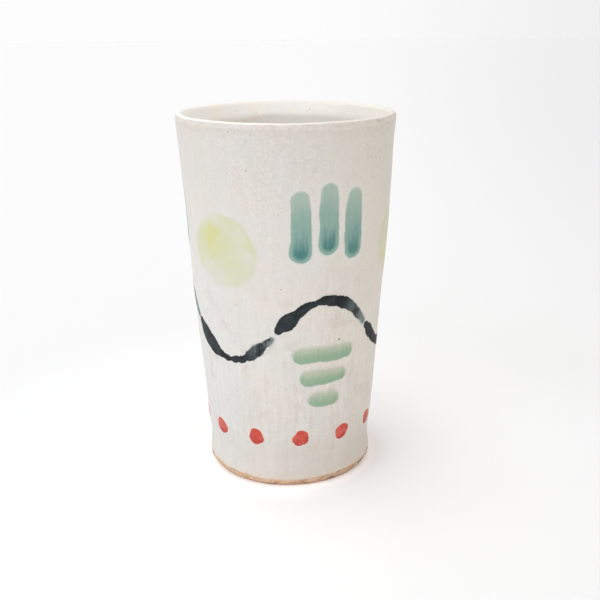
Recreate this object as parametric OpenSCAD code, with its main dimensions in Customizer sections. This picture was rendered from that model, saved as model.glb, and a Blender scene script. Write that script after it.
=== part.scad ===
// Handmade stoneware tumbler: a thrown, slightly tapered cup without a handle.
// The clay body carries two glaze coats, and thin coats of coloured stain lie
// on the outside glaze. Origin: centre of the foot, on the table. +Z is up.
// Angles round the cup are counted from the front (-Y) towards +X.

/* [Cup] */
// Height from the table to the top of the lip
cup_h = 145; // [130:1:165]
// Outside diameter of the glazed wall, measured at the lip
rim_d = 86; // [80:0.5:92]
// Outside diameter of the glazed wall's cone, carried down to the table
foot_d = 65.4; // [60:0.2:74]
// How far the wall flares out beyond that cone at the table
foot_flare = 1.9; // [0:0.05:2.4]
// Height at which the flare starts
flare_h = 11; // [8:0.5:16]

/* [Clay] */
// Thickness of the clay at the lip, which is a full round
lip_t = 2.6; // [2:0.1:3.4]
// Height of the bevel inside the lip, which thins the wall towards it
lip_bevel_h = 6; // [4.5:0.5:9]
// Thickness of the clay wall where that bevel ends
lip_bevel_t = 3.5; // [3:0.1:4.2]
// Thickness of the clay wall where it meets the floor
base_t = 4.4; // [3.6:0.1:6]
// Height of the inside floor above the table, without its glaze
floor_z = 6.2; // [5:0.2:9]
// Radius of the inside corner between wall and floor
corner_r = 9; // [4:0.5:14]

/* [Foot] */
// Run of the bevel that was trimmed round the bottom edge
foot_bevel = 2.5; // [1:0.1:2.8]
// Rise of that bevel
bevel_rise = 2.6; // [1:0.1:3.2]
// Radius of the shallow recess trimmed under the floor
recess_r = 24.5; // [18:0.5:25]
// Depth of that recess
recess_d = 1.5; // [0.5:0.1:2.5]
// Run of the sloping step between the recess and the foot ring
recess_step = 1.4; // [0.6:0.1:2]

/* [Glaze] */
// Thickness of each glaze coat
glaze_t = 0.35; // [0.2:0.05:0.6]
// Height of the bare clay band at the foot, where the outside glaze stops
glaze_line = 3.4; // [3.3:0.1:6]
// How far the liner glaze runs down the outside below the top of the lip
lip_lap = 2.6; // [2.4:0.1:6]

/* [Stain marks] */
// Thickness of the stain coats on the outside glaze
stain_t = 0.14; // [0.08:0.02:0.3]
// Angle of the first wave crest from the front
first_crest = 22; // [-60:1:60]
// Height of the middle of the wave
wave_z = 66; // [60:1:70]
// Rise of the wave above and below its middle
wave_rise = 13; // [6:1:15]
// Half width of a wave stroke where the brush lands
stroke_start = 2.9; // [2:0.1:3.5]
// Half width of a wave stroke where the brush lifts
stroke_end = 1.5; // [1:0.1:2.5]
// Half the angle that one wave stroke spans
stroke_span = 28; // [22:0.5:28.5]
// Radius of the large soft discs
disc_r = 14.5; // [8:0.5:15]
// Height of their centres
disc_z = 97; // [92:1:104]
// Width of the upright bars above each crest
bar_w = 7.5; // [3:0.5:8]
// Height of the upright bars
bar_h = 27; // [10:1:28]
// Height of their centres
bar_z = 108; // [104:1:112]
// Angle between one bar and the next
bar_gap = 15; // [13:0.5:16]
// Length of the longest dash below each crest
dash_w = 25; // [14:1:26]
// Height of a dash
dash_h = 6.5; // [3:0.5:7]
// Height of the highest dash
dash_z = 57; // [54:1:58]
// Drop from one dash to the next
dash_step = 9.5; // [8:0.5:10]
// Radius of the small dots near the foot
dot_r = 3.3; // [1.5:0.1:3.6]
// Height of the row of dots
dot_z = 21.5; // [21.5:0.5:26]
// Number of dots in the row
dot_count = 12; // [6:1:18]

/* [Hidden] */
round_fn = 128;

// The outside of the glazed wall is a cone that flares a little at the foot.
slope = (rim_d - foot_d) / 2 / cup_h;
lean = atan(slope);
function flare(z) =
  z < flare_h ? foot_flare * pow(1 - z / flare_h, 1.4) : 0;
function wall_r(z) = foot_d / 2 + slope * z + flare(z);
// Heights from z1 to z2 at which the flared wall changes slope.
function wall_stops(z1, z2, n = 6) = concat([z1],
  [for (i = [1 : n]) let (z = flare_h * (1 - pow(1 - i / n, 1.3)))
    if (z > z1 + 0.5 && z < z2 - 0.5) z], [z2]);
// The clay lies one glaze coat inside it, measured square to the wall.
function clay_r(z) = wall_r(z) - glaze_t / cos(lean);

// The lip is a circle in section, tangent to the clay's two faces.
lip_r = lip_t / 2;
lip_z = cup_h - glaze_t - lip_r;
lip_x = clay_r(lip_z) - lip_r / cos(lean);

// The inside face is a cone from the floor up to the bend below the lip.
bend_z = cup_h - lip_bevel_h;
bend_x = clay_r(bend_z) - lip_bevel_t;
base_x = clay_r(floor_z) - flare(floor_z) - base_t;
in_slope = (bend_x - base_x) / (bend_z - floor_z);
in_lean = atan(in_slope);
function inside_r(z) = bend_x + in_slope * (z - bend_z);
function middle_r(z) = (clay_r(z) + inside_r(z)) / 2;

// The inside corner is a circle tangent to the floor and to the inside face.
corner_z = floor_z + corner_r;
corner_x = inside_r(corner_z) - corner_r / cos(in_lean);

// From the bend, the bevel runs up to touch the lip's circle.
to_lip = [lip_x - bend_x, lip_z - bend_z];
bevel_a = atan2(to_lip[1], to_lip[0]) + asin(lip_r / norm(to_lip));
bevel_normal = [-sin(bevel_a), cos(bevel_a)];
wall_normal = [-cos(in_lean), sin(in_lean)];

// Points where a coat of thickness g on the clay turns.
function lip_out(g) = [lip_x + (lip_r + g) * cos(lean),
                       lip_z - (lip_r + g) * sin(lean)];
function lip_in(g) = [lip_x, lip_z] + (lip_r + g) * bevel_normal;
function bend(g) = [bend_x, bend_z]
  + g * (bevel_normal + wall_normal) / (1 + bevel_normal * wall_normal);
function corner_up(g) = [corner_x + (corner_r - g) * cos(in_lean),
                         corner_z - (corner_r - g) * sin(in_lean)];
function corner_down(g) = [corner_x, floor_z + g];

// Lip and inside corner, added to and cut from a section that has g on it.
module lip_and_corner(points, g) {
  translate([lip_x, lip_z]) circle(r = lip_r + g, $fn = 64);
  difference() {
    polygon(points);
    translate([corner_x, corner_z]) circle(r = corner_r - g, $fn = 96);
  }
}

module clay_section() {
  lip_and_corner(concat([
    [0, recess_d], [recess_r, recess_d], [recess_r + recess_step, 0],
    [clay_r(0) - foot_bevel, 0]],
    [[clay_r(bevel_rise), bevel_rise]],
    [for (z = wall_stops(glaze_line, flare_h)) [clay_r(z), z]],
    [lip_out(0), lip_in(0), bend(0),
     corner_up(0), corner_down(0), [0, floor_z]]), 0);
}

// Thrown and trimmed body, lip to foot ring.
module clay_body() {
  color([0.80, 0.66, 0.53])
    rotate_extrude($fn = round_fn) clay_section();
}

// A coat of thickness t on a face at radius offset d from the glazed wall.
module wall_coat(z1, z2, d, t) {
  rotate_extrude($fn = round_fn)
    let (stops = wall_stops(z1, z2), last = len(stops) - 1)
      polygon(concat(
        [for (z = stops) [wall_r(z) + d + t, z]],
        [for (i = [last : -1 : 0]) [wall_r(stops[i]) + d, stops[i]]]));
}

// White coat on the outside, from the foot line to the liner's edge.
module outer_glaze() {
  color([0.91, 0.89, 0.86])
    wall_coat(glaze_line, cup_h - lip_lap,
              -glaze_t / cos(lean), glaze_t / cos(lean));
}

// Coat on the floor and the inside wall, over the lip and a little way down.
module liner_glaze() {
  lap_z = cup_h - lip_lap;
  deep_z = floor_z - 1.5;
  color([0.94, 0.92, 0.87])
    rotate_extrude($fn = round_fn)
      difference() {
        lip_and_corner([
          [0, deep_z], [middle_r(deep_z), deep_z], [middle_r(lap_z), lap_z],
          [wall_r(lap_z), lap_z], lip_out(glaze_t), lip_in(glaze_t),
          bend(glaze_t), corner_up(glaze_t), corner_down(glaze_t),
          [0, floor_z + glaze_t]], glaze_t);
        clay_section();
      }
}

// The part of the stain coat that a flat shape covers, seen from angle a.
module mark(a, z1, z2) {
  intersection() {
    wall_coat(z1, z2, 0, stain_t);
    rotate([0, 0, a]) rotate([90, 0, 0])
      linear_extrude(height = rim_d) children();
  }
}

// Centre line of the wave: three crests round the cup.
function wave_at(a) = wave_z + wave_rise * cos(3 * (a - first_crest));
function wave_steep(a) =
  -wave_rise * 3 * sin(3 * (a - first_crest)) / wall_r(wave_z);
// Half width of a stroke, s running from 0 where the brush lands to 1.
function stroke_w(s) =
  stroke_start + (stroke_end - stroke_start) * s + 0.35 * sin(540 * s);
// A point on the wall, p mm along the wall from angle a, flattened.
function on_wall(a, p, z) =
  [wall_r(z) * sin(a + p / wall_r(z) * 180 / PI), z];
// A point w mm from the centre line, d degrees from the wave's own direction.
function off_line(c, a, w, d) =
  let (t = atan(wave_steep(c + a)) + d)
  on_wall(a, w * cos(t), wave_at(c + a) + w * sin(t));
function stroke_outline(c, steps = 16, cap = 5) = concat(
  [for (i = [0 : steps]) let (s = i / steps)
    off_line(c, stroke_span * (2 * s - 1), stroke_w(s), 90)],
  [for (i = [1 : cap])
    off_line(c, stroke_span, stroke_w(1), 90 - 180 * i / (cap + 1))],
  [for (i = [steps : -1 : 0]) let (s = i / steps)
    off_line(c, stroke_span * (2 * s - 1), stroke_w(s), -90)],
  [for (i = [1 : cap])
    off_line(c, -stroke_span, stroke_w(0), -90 - 180 * i / (cap + 1))]);

// Dark brushed wave, one stroke for each crest and each trough.
module dark_strokes() {
  reach = wave_rise + stroke_start + 2;
  color([0.12, 0.14, 0.16])
    for (i = [0 : 5])
      mark(first_crest + 60 * i, wave_z - reach, wave_z + reach)
        polygon(stroke_outline(first_crest + 60 * i));
}

// A bar with round ends, lying along x.
module round_bar(length, width) {
  square([length - width, width], center = true);
  for (s = [-1, 1])
    translate([s * (length - width) / 2, 0]) circle(d = width, $fn = 48);
}

// Large pale discs, one over each trough.
module yellow_discs() {
  color([0.87, 0.87, 0.66])
    for (i = [0 : 2])
      mark(first_crest + 60 + 120 * i, disc_z - disc_r - 1, disc_z + disc_r + 1)
        translate([0, disc_z]) circle(r = disc_r, $fn = 96);
}

// Three dashes under each crest, shorter towards the foot.
module green_dashes() {
  color([0.62, 0.74, 0.62])
    for (i = [0 : 2]) for (j = [0 : 2]) {
      z = dash_z - dash_step * j;
      mark(first_crest + 120 * i, z - dash_h / 2 - 1, z + dash_h / 2 + 1)
        translate([0, z]) round_bar(dash_w * (1 - 0.24 * j), dash_h);
    }
}

// Three upright bars over each crest.
module teal_bars() {
  color([0.40, 0.63, 0.61])
    for (i = [0 : 2]) for (j = [-1 : 1]) {
      z = bar_z + 2.5 * (1 - abs(j));
      mark(first_crest + 120 * i + bar_gap * j,
           z - bar_h / 2 - 1, z + bar_h / 2 + 1)
        translate([0, z]) rotate(90) round_bar(bar_h, bar_w);
    }
}

// A row of small dots round the cup, above the foot.
module red_dots() {
  color([0.78, 0.33, 0.24])
    for (i = [0 : dot_count - 1])
      mark(first_crest + 360 * (i + 0.5) / dot_count, dot_z - dot_r - 1,
           dot_z + dot_r + 1)
        translate([0, dot_z]) circle(r = dot_r, $fn = 48);
}

clay_body();
outer_glaze();
liner_glaze();
dark_strokes();
yellow_discs();
green_dashes();
teal_bars();
red_dots();
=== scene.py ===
"""Handmade stoneware tumbler: looks of the glazed cup, its bare foot and its stain marks.

Lengths are in millimetres until a mesh is made, which is in metres. Azimuths are counted from the
front (-Y) towards +X, in radians, as the frame does in degrees.
"""

import math

import bpy
import numpy as np
from mathutils import Matrix, Vector


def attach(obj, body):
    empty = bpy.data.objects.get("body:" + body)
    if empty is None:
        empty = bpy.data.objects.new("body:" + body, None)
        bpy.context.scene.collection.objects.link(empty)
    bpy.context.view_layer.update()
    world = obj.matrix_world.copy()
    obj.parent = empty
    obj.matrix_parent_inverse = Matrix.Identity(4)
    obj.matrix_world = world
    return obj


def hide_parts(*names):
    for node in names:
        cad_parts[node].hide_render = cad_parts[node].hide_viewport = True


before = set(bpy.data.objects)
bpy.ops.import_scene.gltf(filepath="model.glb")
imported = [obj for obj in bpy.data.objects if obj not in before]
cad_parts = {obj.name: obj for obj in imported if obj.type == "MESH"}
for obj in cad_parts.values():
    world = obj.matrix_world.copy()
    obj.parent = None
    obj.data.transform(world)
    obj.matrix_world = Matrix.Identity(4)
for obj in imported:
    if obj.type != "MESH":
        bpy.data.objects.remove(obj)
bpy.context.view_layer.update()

# ---------------------------------------------------------------------------------------------
# Camera: 600 x 600 picture, a little above the lip and looking 17.5 degrees down
# ---------------------------------------------------------------------------------------------


def make_camera():
    yaw, pitch, roll = 0.0098, -0.3059, -0.0098
    forward = Vector(
        (
            math.sin(yaw) * math.cos(pitch),
            math.cos(yaw) * math.cos(pitch),
            math.sin(pitch),
        )
    )
    right = Vector((math.cos(yaw), -math.sin(yaw), 0.0))
    up = right.cross(forward)
    right, up = (
        math.cos(roll) * right + math.sin(roll) * up,
        math.cos(roll) * up - math.sin(roll) * right,
    )
    data = bpy.data.cameras.new("camera")
    data.sensor_fit = "HORIZONTAL"
    data.sensor_width = 36.0
    data.lens = 54.86
    data.clip_start, data.clip_end = 0.01, 30.0
    cam = bpy.data.objects.new("camera", data)
    m = Matrix.Identity(4)
    for i, axis in enumerate((right, up, -forward)):
        for j in range(3):
            m[j][i] = axis[j]
    m.translation = Vector((0.00118, -0.35954, 0.18139))
    cam.matrix_world = m
    bpy.context.scene.collection.objects.link(cam)
    bpy.context.scene.camera = cam


make_camera()

# ---------------------------------------------------------------------------------------------
# The cup's measures, as in the CAD model
# ---------------------------------------------------------------------------------------------

CUP_H, RIM_R, FOOT_R = 145.0, 43.0, 32.7
FLARE, FLARE_H = 1.9, 11.0
LIP_T, BASE_T, FLOOR_Z, CORNER_R = 2.6, 4.4, 6.2, 9.0
LIP_BEVEL_H, LIP_BEVEL_T = 6.0, 3.5
BEVEL, BEVEL_RISE = 2.5, 2.6
RECESS_R, RECESS_D, RECESS_STEP = 24.5, 1.5, 1.4
GLAZE_T, GLAZE_LINE, LIP_LAP = 0.35, 3.4, 2.6
FIRST_CREST = math.radians(22)
WAVE_Z, WAVE_RISE = 66.0, 13.0
STROKE_START, STROKE_END, STROKE_SPAN = 2.9, 1.5, math.radians(28)
DISC_R, DISC_Z = 14.5, 97.0
BAR_W, BAR_H, BAR_Z, BAR_GAP = 7.5, 27.0, 108.0, math.radians(15)
DASH_W, DASH_H, DASH_Z, DASH_STEP = 25.0, 6.5, 57.0, 9.5
DOT_R, DOT_Z, DOT_COUNT = 3.3, 21.5, 12

SLOPE = (RIM_R - FOOT_R) / CUP_H
LEAN = math.atan(SLOPE)
LIP_R = LIP_T / 2
LIP_Z = CUP_H - GLAZE_T - LIP_R


def flare(z):
    return FLARE * np.clip(1 - z / FLARE_H, 0, 1.2) ** 1.4


def wall_r(z):
    return FOOT_R + SLOPE * z + flare(z)


def clay_r(z):
    return wall_r(z) - GLAZE_T / math.cos(LEAN)


LIP_X = clay_r(LIP_Z) - LIP_R / math.cos(LEAN)
BEND_Z = CUP_H - LIP_BEVEL_H
BEND_X = clay_r(BEND_Z) - LIP_BEVEL_T
IN_SLOPE = (BEND_X - clay_r(FLOOR_Z) + flare(FLOOR_Z) + BASE_T) / (BEND_Z - FLOOR_Z)
IN_LEAN = math.atan(IN_SLOPE)


def inside_r(z):
    return BEND_X + IN_SLOPE * (z - BEND_Z)


CORNER_Z = FLOOR_Z + CORNER_R
CORNER_X = inside_r(CORNER_Z) - CORNER_R / math.cos(IN_LEAN)

# The bevel inside the lip: its direction, and where a coat of thickness g on it starts and ends.
BEVEL_A = math.atan2(LIP_Z - BEND_Z, LIP_X - BEND_X) + math.asin(LIP_R / math.hypot(LIP_Z - BEND_Z, LIP_X - BEND_X))


def lip_in(g):
    return LIP_X - (LIP_R + g) * math.sin(BEVEL_A), LIP_Z + (LIP_R + g) * math.cos(BEVEL_A)


def bend(g):
    n1, n2 = (-math.sin(BEVEL_A), math.cos(BEVEL_A)), (-math.cos(IN_LEAN), math.sin(IN_LEAN))
    k = g / (1 + n1[0] * n2[0] + n1[1] * n2[1])
    return BEND_X + k * (n1[0] + n2[0]), BEND_Z + k * (n1[1] + n2[1])

# ---------------------------------------------------------------------------------------------
# Small functions on arrays
# ---------------------------------------------------------------------------------------------


def turn(a):
    """An angle brought between -pi and pi."""
    return (a + np.pi) % (2 * np.pi) - np.pi


def hill(x, middle, width):
    return np.exp(-(((x - middle) / width) ** 2))


def ease(x):
    x = np.clip(x, 0.0, 1.0)
    return x * x * (3 - 2 * x)


def step_up(x, low, high):
    """0 below low, 1 above high, smooth between."""
    return ease((x - low) / (high - low))


def ripple(a, z, seed, waves, turns, per_mm, power=1.0):
    """A smooth random field round the cup, about -1 to 1. Its waves close on themselves round the axis."""
    rng = np.random.default_rng(seed)
    out, total = 0.0, 0.0
    for _ in range(waves):
        m = rng.integers(1, turns + 1)
        k = rng.uniform(-per_mm, per_mm)
        weight = 1.0 / (1.0 + m / turns) ** power
        out = out + weight * np.sin(m * a + k * z + rng.uniform(0, 2 * np.pi))
        total += weight * weight
    return out / math.sqrt(total) * 0.8


def body_shift(a, z):
    """How far the whole thrown wall leans out from a true cone, which no hand-thrown cup is."""
    right, left = hill(turn(a - np.pi / 2), 0, 0.9), hill(turn(a + np.pi / 2), 0, 0.9)
    d = right * (0.34 * hill(z, 98, 17) - 0.42 * hill(z, 134, 11))
    d = d + left * (0.24 * hill(z, 70, 26) - 0.24 * hill(z, 111, 9))
    d = d + 0.12 * np.sin(2 * a + 0.4) * z / CUP_H
    # The waist over the foot is drawn in a little, and the foot sits a touch to the left of the wall.
    d = d - 0.30 * hill(z, 14, 5) - 0.34 * np.sin(a) * (1 - step_up(z, 12, 34))
    d = d + 0.10 * ripple(a, z, 11, 8, 4, 0.07)
    return d * step_up(z, -5, 4)


def lip_drop(a, z):
    """The lip isn't quite level."""
    d = 0.16 + 0.10 * np.sin(a + 0.7) + 0.06 * np.sin(3 * a + 2.0)
    return -d * step_up(z, 60, CUP_H)


def glaze_line(a):
    """Height where the outside glaze stops above the foot. It was wiped by hand, and it ran a little."""
    line = GLAZE_LINE + 0.30 * ripple(a, 0, 21, 7, 6, 0.1) + 0.22 * ripple(a, 0, 22, 16, 38, 0.1, 0.4)
    line = line + 0.70 * np.sin(a) ** 2 + 0.35 * hill(turn(a + 1.0), 0, 0.6)
    return line + 0.10 * ripple(a, 0, 23, 22, 110, 0.1, 0.2)


def lap_line(a):
    """Height where the liner glaze stops outside, under the lip."""
    line = CUP_H - LIP_LAP + 0.38 * ripple(a, 0, 31, 7, 7, 0.1) + 0.22 * ripple(a, 0, 32, 16, 40, 0.1, 0.4)
    drip = 0.8 * hill(turn(a - 0.48), 0, 0.16) + 0.5 * hill(turn(a - 0.9), 0, 0.09) + 0.6 * hill(turn(a + 2.2), 0, 0.12)
    return np.minimum(line + 0.05, CUP_H - 2.35) - drip


def wall_skin(a, z):
    """Fine relief of the outside glaze: throwing rings that it has almost filled, and runs down the wall."""
    rings = 0.022 * np.sin(2 * np.pi * z / 7.3 + 0.9 * np.sin(a)) * (0.4 + 0.6 * ripple(a, z, 41, 6, 3, 0.05) ** 2)
    runs = 0.016 * ripple(a, z, 42, 26, 90, 0.012, 0.3) * (1 - 0.6 * step_up(z, 70, 120))
    return rings + runs + 0.03 * ripple(a, z, 43, 14, 14, 0.25, 0.6)


# ---------------------------------------------------------------------------------------------
# Stain marks as distance fields: negative inside a mark, in millimetres
# ---------------------------------------------------------------------------------------------
FAR = 8.0


def to_flat(a, z, a0):
    """Place of a point as seen square on from azimuth a0; far away if it's round the back."""
    da = turn(a - a0)
    x = wall_r(z) * np.sin(da)
    return np.where(np.abs(da) < 1.25, x, 999.0)


def bar_distance(x, z, half, radius):
    """Distance to a rounded bar that lies along x and reaches half each way."""
    over = np.abs(x) - (half - radius)
    return np.hypot(np.maximum(over, 0.0), z) - radius


def discs(a, z):
    best, pool = np.full(np.shape(a), FAR), np.zeros(np.shape(a))
    for k in range(3):
        x, v = to_flat(a, z, FIRST_CREST + math.radians(60 + 120 * k)), z - DISC_Z
        phi = np.arctan2(v, x)
        wide = DISC_R + 0.35 * np.sin(2 * phi + k) + 0.32 * np.sin(3 * phi + 2.1 * k) + 0.16 * np.sin(7 * phi + k)
        d = np.hypot(x, v) - wide
        pool = np.where(d < best, -v / DISC_R, pool)
        best = np.minimum(best, d)
    return best, pool


def bars(a, z):
    best, pool = np.full(np.shape(a), FAR), np.zeros(np.shape(a))
    for k in range(3):
        for j in (-1, 0, 1):
            x = to_flat(a, z, FIRST_CREST + math.radians(120 * k) + BAR_GAP * j)
            v = z - BAR_Z - 2.5 * (1 - abs(j))
            s = 0.30 * np.sin(v / 3.9 + 2 * k + j) + 0.14 * np.sin(v / 1.5 + 5 * j + k)
            swell = 0.45 * step_up(-v, -5, 10) - 0.55 * step_up(v, 2, 13)
            d = bar_distance(v, x + 0.5 * s, BAR_H / 2, BAR_W / 2) - 0.5 * s - swell
            pool = np.where(d < best, -v / (BAR_H / 2), pool)
            best = np.minimum(best, d)
    return best, pool


def dashes(a, z):
    best, pool = np.full(np.shape(a), FAR), np.zeros(np.shape(a))
    for k in range(3):
        for j in range(3):
            x = to_flat(a, z, FIRST_CREST + math.radians(120 * k))
            v = z - (DASH_Z - DASH_STEP * j)
            half = DASH_W * (1 - 0.24 * j) / 2
            sag = 0.25 * np.sin(x / 3.3 + 3 * j + k) + 0.15 * np.sin(x / 1.5 + j)
            d = bar_distance(x, v + 0.3 * sag, half, DASH_H / 2) - 0.5 * sag - 0.2 * step_up(-x, -8, 8)
            pool = np.where(d < best, -v / (DASH_H / 2), pool)
            best = np.minimum(best, d)
    return best, pool


def dots(a, z):
    best, pool = np.full(np.shape(a), FAR), np.zeros(np.shape(a))
    for k in range(DOT_COUNT):
        x = to_flat(a, z, FIRST_CREST + 2 * math.pi * (k + 0.5) / DOT_COUNT)
        v = z - DOT_Z
        phi = np.arctan2(v, x)
        wide = DOT_R + 0.22 * np.sin(2 * phi + 1.7 * k) + 0.16 * np.sin(3 * phi + 0.9 * k) + 0.1 * np.sin(5 * phi + k)
        d = np.hypot(x, v) - wide
        pool = np.where(d < best, -v / DOT_R, pool)
        best = np.minimum(best, d)
    return best, pool


def wave_height(a):
    return WAVE_Z + WAVE_RISE * np.cos(3 * (a - FIRST_CREST))


def wave_strokes():
    """Middle line and half width of each brush stroke: (azimuth, height, half width, share of its length)."""
    rows = []
    for k in range(6):
        s = np.linspace(0, 1, 180)
        a = FIRST_CREST + math.radians(60 * k) + STROKE_SPAN * (2 * s - 1)
        w = STROKE_START + (STROKE_END - STROKE_START) * s + 0.35 * np.sin(3 * np.pi * s)
        w = w * (0.62 + 0.38 * step_up(s, -0.01, 0.09))
        rng = np.random.default_rng(200 + k)
        drift = 0.0
        for turns, swell, stray in ((4, 0.20, 0.26), (9, 0.22, 0.16), (17, 0.16, 0.10), (31, 0.13, 0.07), (52, 0.08, 0.04)):
            for _ in range(2):
                f = turns * rng.uniform(0.75, 1.3)
                w = w + swell * np.sin(f * s + rng.uniform(0, 6.28))
                drift = drift + stray * np.sin(f * s + rng.uniform(0, 6.28))
        rows.append(np.stack([a, wave_height(a) + drift, w - 0.1, s], 1))
    return np.concatenate(rows)


def wave(a, z):
    shape = np.shape(a)
    a, z = np.ravel(a), np.ravel(z)
    best, share = np.full(len(a), FAR), np.zeros(len(a))
    near = np.flatnonzero(np.abs(z - WAVE_Z) < WAVE_RISE + STROKE_START + 6)
    line = wave_strokes()
    for part in np.array_split(near, max(1, len(near) // 4000)):
        across = turn(a[part, None] - line[None, :, 0]) * wall_r(z[part])[:, None]
        d = np.hypot(across, z[part, None] - line[None, :, 1]) - line[None, :, 2]
        at = d.argmin(1)
        best[part] = np.minimum(d[np.arange(len(part)), at], FAR)
        share[part] = line[at, 3]
    return best.reshape(shape), share.reshape(shape)


def mark_fields(a, z):
    """Every mark's distance at these points, with the place inside the nearest mark from -1, its top, to 1, its foot."""
    yellow, p0 = discs(a, z)
    green, p1 = dashes(a, z)
    teal, p2 = bars(a, z)
    red, p3 = dots(a, z)
    dark, share = wave(a, z)
    every, pools = np.stack([yellow, green, teal, red]), np.stack([p0, p1, p2, p3])
    pool = np.take_along_axis(pools, every.argmin(0)[None], 0)[0]
    return {
        "soft_marks": np.stack([yellow, green, teal], -1),
        "hard_marks": np.stack([red, dark, pool], -1),
        "stroke": share,
    }


# ---------------------------------------------------------------------------------------------
# Mesh made from a grid of points round the axis
# ---------------------------------------------------------------------------------------------


def grid_mesh(name, points, fields, start=None, end=None, ring=False, left=None, right=None):
    """A closed, smooth mesh of rows that each go once round.

    points is rows x columns x 3 in mm. start and end are single points that close the first and last row;
    with ring, the last row joins the first instead. left and right are the flat map's places of each row's
    points as the face before and after sees them, with one row more where ring is set.
    """
    rows, cols = points.shape[:2]
    flat = points.reshape(-1, 3)
    count = rows * cols
    i = np.arange(cols)
    i1 = (i + 1) % cols
    faces, maps = [], []
    for j in range(rows if ring else rows - 1):
        k = (j + 1) % rows
        faces += np.stack([j * cols + i, j * cols + i1, k * cols + i1, k * cols + i], 1).tolist()
        maps.append(np.stack([left[j], right[j], right[j + 1], left[j + 1]], 1).reshape(-1, 2))
    tips = []
    if start is not None:
        tips.append(start)
        faces += np.stack([np.full(cols, count), i1, i], 1).tolist()
        middle = (left[0] + right[0]) / 2
        maps.append(np.stack([middle * 0 + left[0].mean(0), right[0], left[0]], 1).reshape(-1, 2))
    if end is not None:
        tips.append(end)
        faces += np.stack([(rows - 1) * cols + i, (rows - 1) * cols + i1, np.full(cols, count + len(tips) - 1)], 1).tolist()
        middle = np.repeat(left[rows - 1].mean(0)[None], cols, 0)
        maps.append(np.stack([left[rows - 1], right[rows - 1], middle], 1).reshape(-1, 2))
    if tips:
        flat = np.concatenate([flat, np.array(tips, float)])
    # Faces must look outwards, so the volume must come out positive.
    volume = 0.0
    for f in (faces[: (rows if ring else rows - 1) * cols], faces[(rows if ring else rows - 1) * cols :]):
        if f:
            f = np.array(f)
            p = flat[f]
            volume += np.einsum("ij,ij->", p[:, 0], np.cross(p[:, 1], p[:, 2]))
            if f.shape[1] == 4:
                volume += np.einsum("ij,ij->", p[:, 0], np.cross(p[:, 2], p[:, 3]))
    uv = np.concatenate(maps)
    if volume < 0:
        sizes = np.array([len(f) for f in faces])
        faces = [f[::-1] for f in faces]
        starts = np.concatenate([[0], np.cumsum(sizes)[:-1]])
        order = np.concatenate([np.arange(s + n - 1, s - 1, -1) for s, n in zip(starts, sizes)])
        uv = uv[order]
    mesh = bpy.data.meshes.new(name)
    mesh.from_pydata((flat * 0.001).tolist(), [], faces)
    mesh.polygons.foreach_set("use_smooth", [True] * len(mesh.polygons))
    layer = mesh.uv_layers.new(name="OFBake")
    layer.uv.foreach_set("vector", np.clip(uv, 0.0, 1.0).astype(np.float32).ravel())
    for key, values in fields.items():
        wide = values.ndim == 3
        values = values.reshape(count, -1)
        if tips:
            more = np.repeat(values.mean(0)[None], len(tips), 0)
            values = np.concatenate([values, more])
        attribute = mesh.attributes.new(key, "FLOAT_VECTOR" if wide else "FLOAT", "POINT")
        attribute.data.foreach_set("vector" if wide else "value", values.astype(np.float32).ravel())
    mesh.update()
    ob = bpy.data.objects.new(name, mesh)
    bpy.context.scene.collection.objects.link(ob)
    return ob


def round_map(rows, cols, heights):
    """A flat map for rows that go once round: columns across, and each row at its height."""
    u = np.arange(cols + 1) / cols
    heights = np.asarray(heights, float)
    grid = np.stack(np.broadcast_arrays(u[None, :], heights[:, None]), -1)
    return grid[:, :-1], grid[:, 1:]


def section_length(r, z):
    return np.concatenate([[0.0], np.cumsum(np.hypot(np.diff(r), np.diff(z)))])


def azimuths(n):
    """Columns round the cup, with the map's seam at the back."""
    return -np.pi + 2 * np.pi * np.arange(n) / n


def round_points(r, z, a):
    """Points of rows x columns from radius and height, with the hand-made shifts of the whole cup."""
    z = np.broadcast_to(z, r.shape) if np.ndim(z) == 2 else np.repeat(np.asarray(z)[:, None], len(a), 1)
    aa = np.broadcast_to(a[None, :], r.shape)
    r2 = r + body_shift(aa, z) * step_up(r, 4, 26)
    z2 = z + lip_drop(aa, z)
    return np.stack([r2 * np.sin(aa), -r2 * np.cos(aa), z2], -1)


def rounded(points, times):
    """A broken line with its corners cut over and over, which rounds them."""
    p = np.array(points, float)
    for _ in range(times):
        q = 0.75 * p[:-1] + 0.25 * p[1:]
        r = 0.25 * p[:-1] + 0.75 * p[1:]
        p = np.concatenate([p[:1], np.stack([q, r], 1).reshape(-1, 2), p[-1:]])
    return p


def arc(cx, cz, radius, first, last, n):
    """Points of an arc in section, angles in radians from +r towards +z."""
    t = np.linspace(first, last, n)
    return cx + radius * np.cos(t), cz + radius * np.sin(t)


# ---------------------------------------------------------------------------------------------
# Clay body: the whole cup under its coats, with its bare foot and underside finished
# ---------------------------------------------------------------------------------------------


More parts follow.
